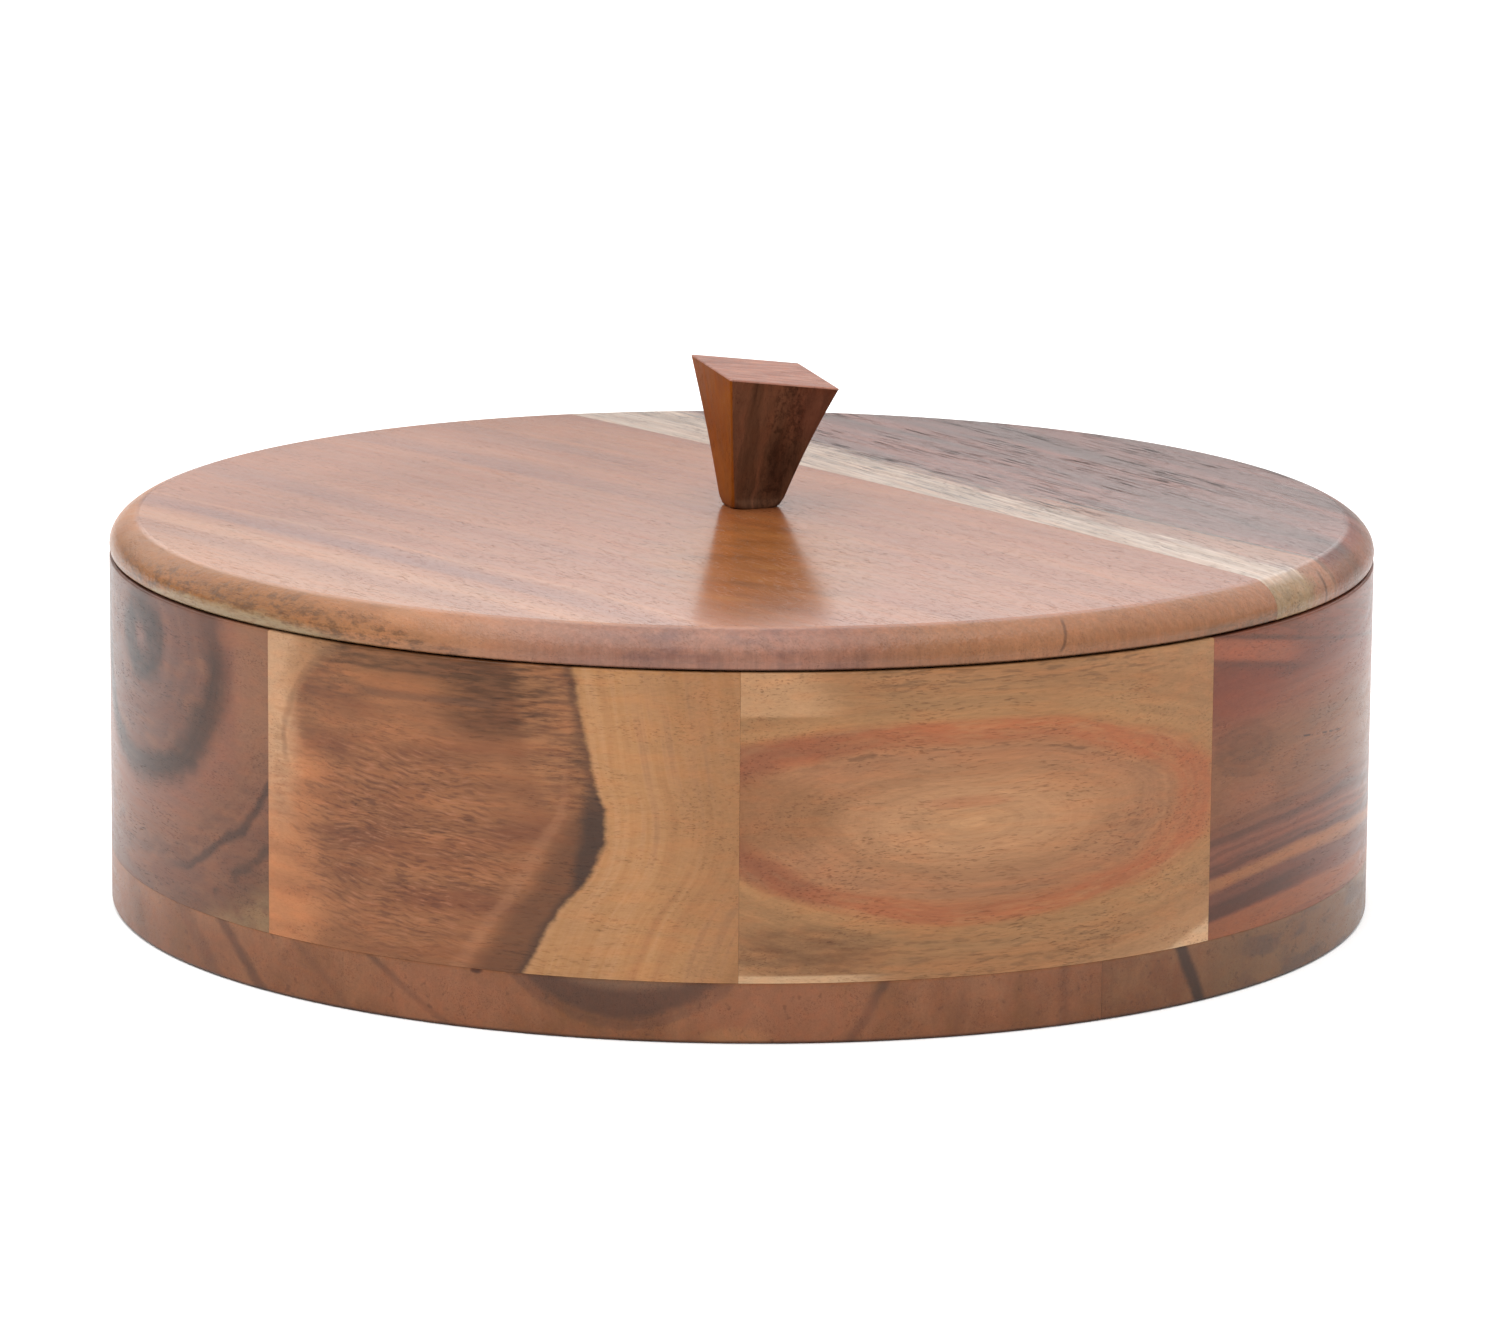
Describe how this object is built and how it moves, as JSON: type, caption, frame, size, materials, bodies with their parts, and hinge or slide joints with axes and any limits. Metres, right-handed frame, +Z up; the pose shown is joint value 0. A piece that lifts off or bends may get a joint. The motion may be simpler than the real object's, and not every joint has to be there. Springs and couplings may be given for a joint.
{
  "type": "spice box",
  "caption": "Round wooden spice box with a lift-off lid, faceted leaning knob, loose steel cups and a small spoon inside.",
  "frame": {"origin": "centre of the base's underside, on the surface that the box stands on", "axes": "+Z up; -Y is the front; +X is to the right seen from the front; the wall's glue joints stand at the front and every 45 degrees"},
  "size_m": [0.24, 0.24, 0.1028],
  "materials": {
    "base_wood": "lacquered acacia, end grain at front and back",
    "wall_wood": "lacquered acacia, figured blocks with light sapwood",
    "lid_wood": "lacquered acacia, straight grain with a light sapwood stripe",
    "knob_wood": "oiled dark acacia",
    "cup_steel": "spun stainless steel, softly polished",
    "spoon_steel": "polished stainless steel",
    "screw_steel": "zinc-plated steel"
  },
  "bodies": {
    "box": {"base_board_wide": "base_wood", "base_board_narrow": "base_wood", "wall_segment_1": "wall_wood", "wall_segment_2": "wall_wood", "wall_segment_3": "wall_wood", "wall_segment_4": "wall_wood", "wall_segment_5": "wall_wood", "wall_segment_6": "wall_wood", "wall_segment_7": "wall_wood", "wall_segment_8": "wall_wood"},
    "lid": {"lid_board_wide": "lid_wood", "lid_board_narrow": "lid_wood", "knob": "knob_wood", "knob_screw": "screw_steel"},
    "cup_center": {"cup_center": "cup_steel"},
    "cup_1": {"cup_1": "cup_steel"},
    "cup_2": {"cup_2": "cup_steel"},
    "cup_3": {"cup_3": "cup_steel"},
    "cup_4": {"cup_4": "cup_steel"},
    "cup_5": {"cup_5": "cup_steel"},
    "cup_6": {"cup_6": "cup_steel"},
    "spoon": {"spoon": "spoon_steel"}
  },
  "joints": [
    {"name": "lid_lift", "type": "slide", "parent": "box", "child": "lid", "axis": [0, 0, 1], "range_m": [0, 0.12]},
    {"name": "cup_center_lift", "type": "slide", "parent": "box", "child": "cup_center", "axis": [0, 0, 1], "range_m": [0, 0.003]},
    {"name": "cup_1_lift", "type": "slide", "parent": "box", "child": "cup_1", "axis": [0, 0, 1], "range_m": [0, 0.01]},
    {"name": "cup_2_lift", "type": "slide", "parent": "box", "child": "cup_2", "axis": [0, 0, 1], "range_m": [0, 0.01]},
    {"name": "cup_3_lift", "type": "slide", "parent": "box", "child": "cup_3", "axis": [0, 0, 1], "range_m": [0, 0.01]},
    {"name": "cup_4_lift", "type": "slide", "parent": "box", "child": "cup_4", "axis": [0, 0, 1], "range_m": [0, 0.01]},
    {"name": "cup_5_lift", "type": "slide", "parent": "box", "child": "cup_5", "axis": [0, 0, 1], "range_m": [0, 0.01]},
    {"name": "cup_6_lift", "type": "slide", "parent": "box", "child": "cup_6", "axis": [0, 0, 1], "range_m": [0, 0.01]},
    {"name": "spoon_lift", "type": "slide", "parent": "cup_center", "child": "spoon", "axis": [0, 0, 1], "range_m": [0, 0.0015]}
  ]
}
